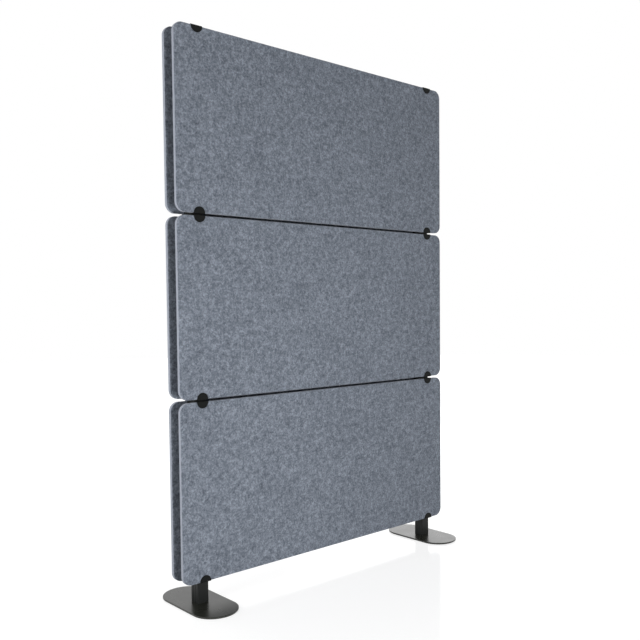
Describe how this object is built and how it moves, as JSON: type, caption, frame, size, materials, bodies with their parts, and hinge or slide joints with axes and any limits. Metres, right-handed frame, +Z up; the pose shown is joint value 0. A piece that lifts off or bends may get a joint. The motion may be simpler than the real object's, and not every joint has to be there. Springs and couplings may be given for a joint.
{
  "type": "acoustic divider screen",
  "caption": "Free-standing room divider of felt boards in three rows, front and rear, clipped to two fluted posts on flat stadium-shaped feet.",
  "frame": {"origin": "middle of the screen's footprint, on the floor", "axes": "+X along the screen to the right as seen from the front, +Y through the screen to the rear, +Z up"},
  "size_m": [1.22, 0.313, 1.8],
  "materials": {
    "felt": "pressed polyester felt, mottled blue-grey, matt",
    "powder_coat_post": "black fine powder coat, satin",
    "powder_coat_clip": "black fine powder coat, matt",
    "powder_coat_base": "black powder coat, satin with a soft reflection",
    "cap_plastic": "black moulded plastic, fine grain",
    "pad_rubber": "black non-slip underlay, matt",
    "screw_steel": "zinc-plated steel"
  },
  "bodies": {
    "root": {"panel_bottom_front": "felt", "panel_bottom_rear": "felt", "panel_middle_front": "felt", "panel_middle_rear": "felt", "panel_top_front": "felt", "panel_top_rear": "felt", "post_left": "powder_coat_post", "post_cap_left": "cap_plastic", "base_plate_left": "powder_coat_base", "base_pad_left": "pad_rubber", "base_screws_left": "screw_steel", "clip_screws_left": "screw_steel", "post_right": "powder_coat_post", "post_cap_right": "cap_plastic", "base_plate_right": "powder_coat_base", "base_pad_right": "pad_rubber", "base_screws_right": "screw_steel", "clip_screws_right": "screw_steel", "clips_bottom_front_lower": "powder_coat_clip", "clips_bottom_front_upper": "powder_coat_clip", "clips_bottom_rear_lower": "powder_coat_clip", "clips_bottom_rear_upper": "powder_coat_clip", "clips_middle_front_lower": "powder_coat_clip", "clips_middle_front_upper": "powder_coat_clip", "clips_middle_rear_lower": "powder_coat_clip", "clips_middle_rear_upper": "powder_coat_clip", "clips_top_front_lower": "powder_coat_clip", "clips_top_front_upper": "powder_coat_clip", "clips_top_rear_lower": "powder_coat_clip", "clips_top_rear_upper": "powder_coat_clip"}
  },
  "joints": []
}
